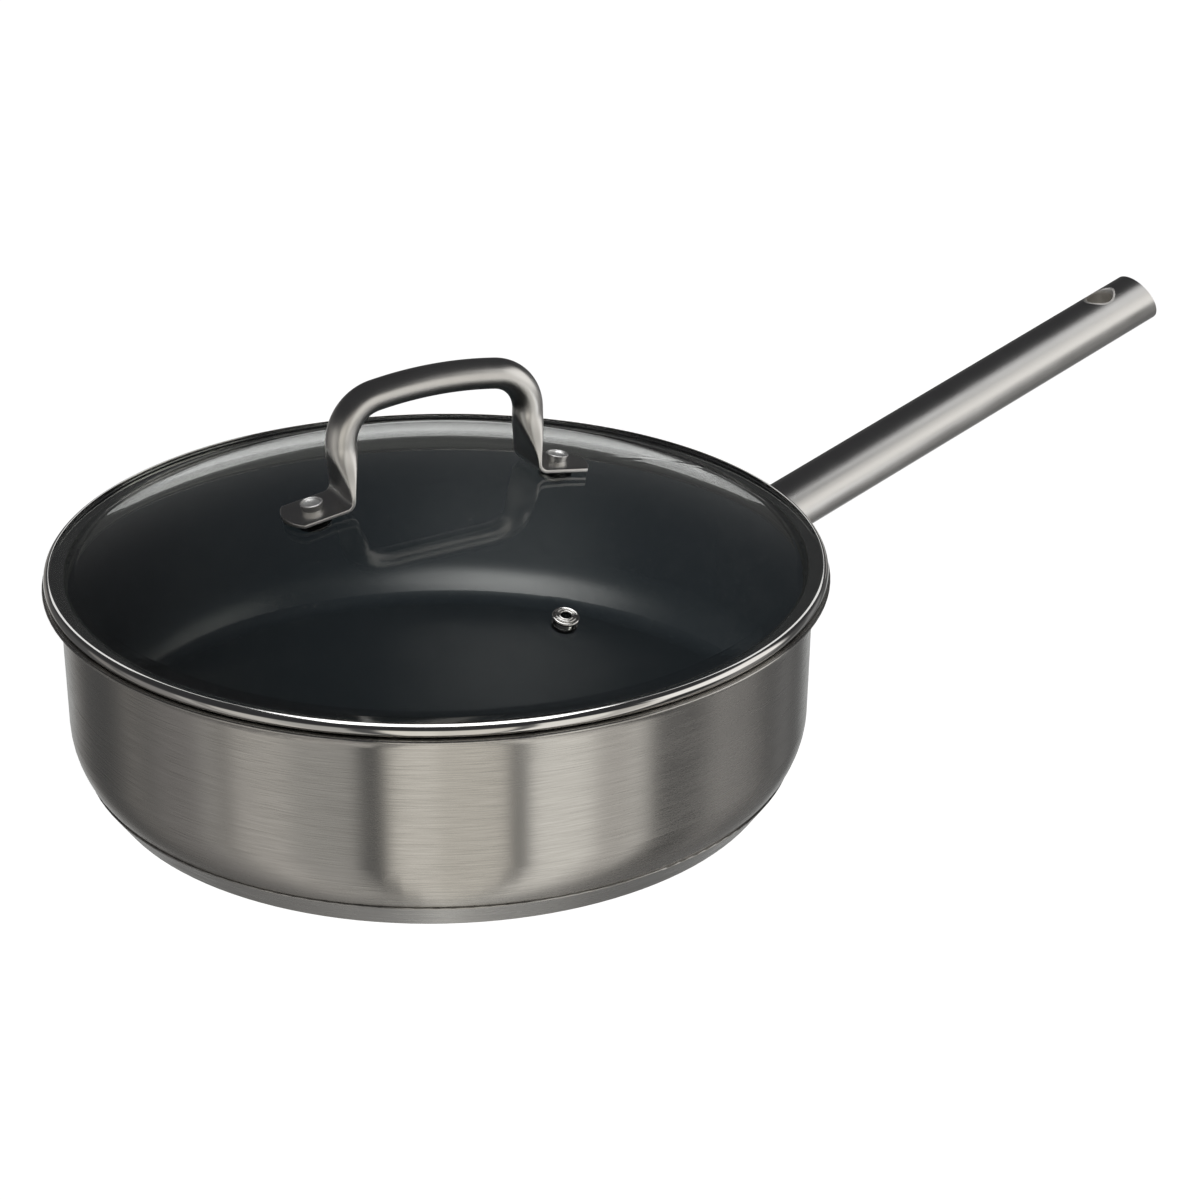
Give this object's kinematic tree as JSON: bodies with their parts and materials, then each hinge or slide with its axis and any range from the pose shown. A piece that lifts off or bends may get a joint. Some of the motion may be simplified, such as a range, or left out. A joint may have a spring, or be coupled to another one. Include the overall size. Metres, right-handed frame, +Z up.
{
  "type": "saute pan with lid",
  "caption": "Straight-sided steel saute pan with a tubular long handle, a lined inside, a capsule base and a domed glass lid with a riveted tube handle and a steam vent.",
  "frame": {"origin": "on the pan's axis, on the underside of the base", "axes": "+Z up along the pan's axis, +X towards the long handle, so the handle lies in the XZ plane"},
  "size_m": [0.4595, 0.254, 0.1394],
  "materials": {
    "pan_steel": "circumferentially brushed",
    "lining": "satin non-stick coating",
    "core": "plain",
    "cap_steel": "satin",
    "handle_steel": "polished satin",
    "bright_steel": "polished",
    "dome_glass": "clear, tempered",
    "seal_rubber": "matt dark silicone"
  },
  "bodies": {
    "pan": {"pan_body": "pan_steel", "nonstick_lining": "lining", "base_core": "core", "base_cap": "cap_steel", "handle_bracket": "handle_steel", "handle_tube": "handle_steel", "hanging_sleeve": "bright_steel", "handle_end_plug": "handle_steel"},
    "lid": {"lid_glass": "dome_glass", "lid_band": "bright_steel", "lid_handle": "handle_steel", "lid_rivets": "bright_steel", "foot_seals": "seal_rubber", "lower_seals": "seal_rubber", "lower_washers": "bright_steel", "vent_eyelet": "bright_steel", "vent_seal": "seal_rubber", "vent_washer": "bright_steel"}
  },
  "joints": [
    {"name": "lid_lift", "type": "slide", "parent": "pan", "child": "lid", "axis": [0, 0, 1], "range_m": [0, 0.15]}
  ]
}
